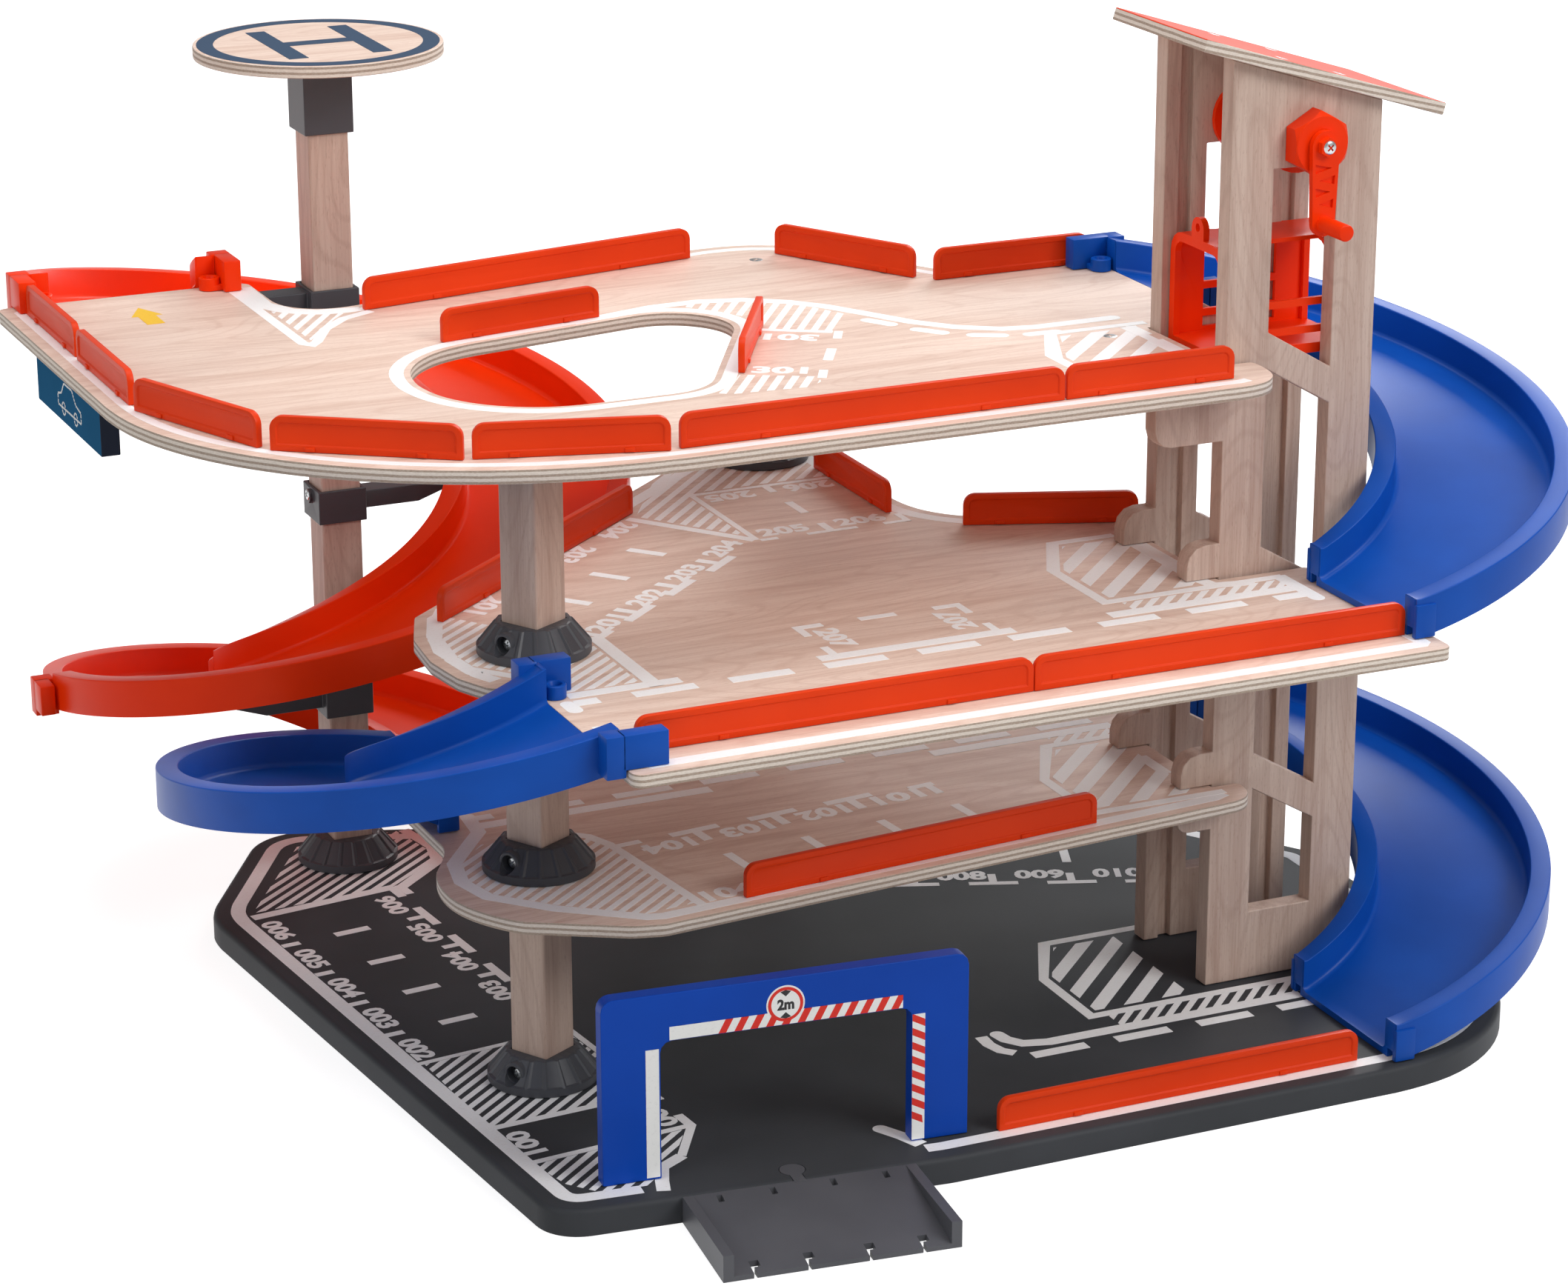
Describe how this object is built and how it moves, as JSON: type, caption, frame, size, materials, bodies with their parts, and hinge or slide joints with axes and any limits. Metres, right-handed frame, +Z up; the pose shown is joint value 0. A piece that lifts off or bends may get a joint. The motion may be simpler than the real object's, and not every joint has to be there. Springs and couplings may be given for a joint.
{
  "type": "toy parking garage",
  "caption": "Multi-level wooden toy parking garage with helical plastic slides, a crank-driven car lift, helipad, entry gate and ramp.",
  "frame": {"origin": "on the underside of the base board, near the middle of the garage", "axes": "+X along the front towards the lift tower and the right-hand slides, +Y from the entry gate to the back, +Z up"},
  "size_m": [0.6631, 0.6397, 0.4603],
  "materials": {
    "base_board": "charcoal painted board, satin",
    "black_plastic": "satin black moulding",
    "charcoal_plastic": "satin charcoal moulding",
    "red_plastic": "glossy orange-red moulding",
    "blue_plastic": "glossy deep blue moulding",
    "veneer_deck": "clear-lacquered pale veneer on plywood",
    "roof_board": "plywood with a red painted top",
    "beech": "clear-lacquered solid beech",
    "gate_paint": "blue painted board with striped markings",
    "sign_paint": "dark block with a blue printed face"
  },
  "bodies": {
    "garage": {"base_board": "base_board", "bracket_1": "black_plastic", "bracket_2": "black_plastic", "bracket_3": "black_plastic", "crank_bearing": "red_plastic", "deck_1": "veneer_deck", "deck_2": "veneer_deck", "deck_3": "veneer_deck", "entry_gate": "gate_paint", "entry_ramp": "charcoal_plastic", "foot_a_0": "black_plastic", "foot_b_0": "black_plastic", "foot_b_1": "black_plastic", "foot_b_2": "black_plastic", "foot_c_0": "black_plastic", "foot_c_2": "black_plastic", "head_b_1": "black_plastic", "head_b_2": "black_plastic", "head_b_3": "black_plastic", "head_c_2": "black_plastic", "head_c_3": "black_plastic", "helipad": "veneer_deck", "helipad_socket": "black_plastic", "post_a": "beech", "post_b_0": "beech", "post_b_1": "beech", "post_b_2": "beech", "post_c_0": "beech", "post_c_2": "beech", "rail_0_front": "red_plastic", "rail_1_front": "red_plastic", "rail_2_back": "red_plastic", "rail_2_diagonal": "red_plastic", "rail_2_front_a": "red_plastic", "rail_2_front_b": "red_plastic", "rail_2_stall": "red_plastic", "rail_3_back_a": "red_plastic", "rail_3_back_b": "red_plastic", "rail_3_back_c": "red_plastic", "rail_3_front_a": "red_plastic", "rail_3_front_b": "red_plastic", "rail_3_front_c": "red_plastic", "rail_3_hole_a": "red_plastic", "rail_3_hole_b": "red_plastic", "rail_3_left_a": "red_plastic", "rail_3_left_b": "red_plastic", "rail_3_left_c": "red_plastic", "rail_3_left_d": "red_plastic", "sign_block": "sign_paint", "slide_blue_left": "blue_plastic", "slide_blue_lower": "blue_plastic", "slide_blue_upper": "blue_plastic", "slide_red_1": "red_plastic", "slide_red_2": "red_plastic", "slide_red_3": "red_plastic", "tower_front": "beech", "tower_rear": "beech", "tower_roof": "roof_board"},
    "lift_cage": {"lift_car": "red_plastic"},
    "crank_handle": {"crank": "red_plastic"}
  },
  "joints": [
    {"name": "lift_travel", "type": "slide", "parent": "garage", "child": "lift_cage", "axis": [0, 0, 1], "range_m": [-0.2965, 0]},
    {"name": "crank_turn", "type": "hinge", "parent": "garage", "child": "crank_handle", "pos_m": [0.1722, -0.09, 0.4093], "axis": [0, 1, 0], "range_deg": [-1416, 0]}
  ],
  "couplings": [
    {"joint": "crank_turn", "follows": "lift_travel", "rad_per_m": 83.333}
  ]
}
